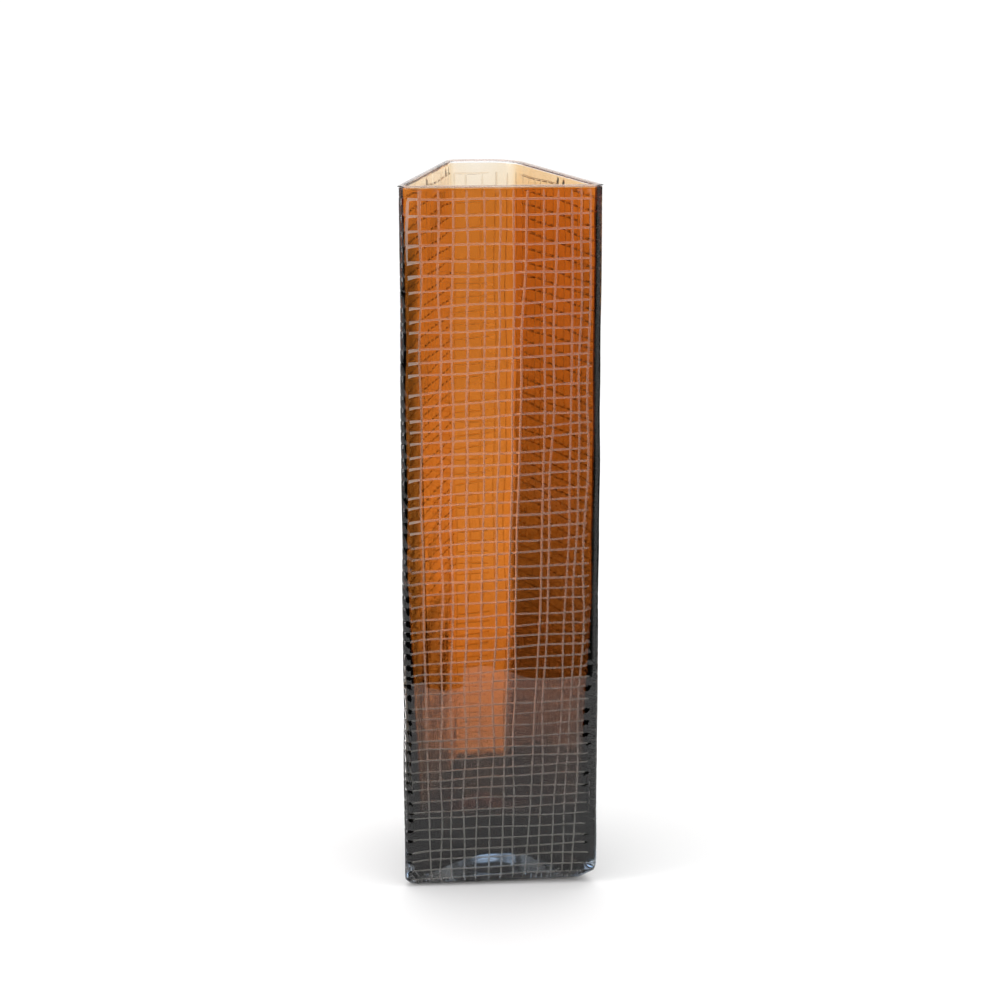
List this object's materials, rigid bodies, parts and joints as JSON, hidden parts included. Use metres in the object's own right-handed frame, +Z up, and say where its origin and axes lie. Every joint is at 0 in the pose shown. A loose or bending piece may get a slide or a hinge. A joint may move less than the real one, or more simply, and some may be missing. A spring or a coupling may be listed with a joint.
{
  "type": "hand blown art glass vase",
  "caption": "Tall wedge-section blown glass vase in amber over smoke grey, cased in clear glass with a hand cut grid over the outside.",
  "frame": {"origin": "middle of the resting face, at the bottom of the object's box", "axes": "+Z up along the vase, -Y toward the broad front face, +X to the right as the front is looked at"},
  "size_m": [0.1108, 0.111, 0.4],
  "materials": {
    "amber_glass": "honey amber blown glass, clear, faint seeds and cords",
    "smoke_glass": "smoke grey blown glass, clear",
    "base_glass": "thick colourless glass with a faint blue-grey cast",
    "cut_clear_glass": "polished colourless glass with satin hand cut lines",
    "lip_glass": "fire-polished"
  },
  "bodies": {
    "root": {"amber_lining": "amber_glass", "smoke_cup": "smoke_glass", "base_pad": "base_glass", "clear_casing": "cut_clear_glass", "rim_lip": "lip_glass"}
  },
  "joints": []
}
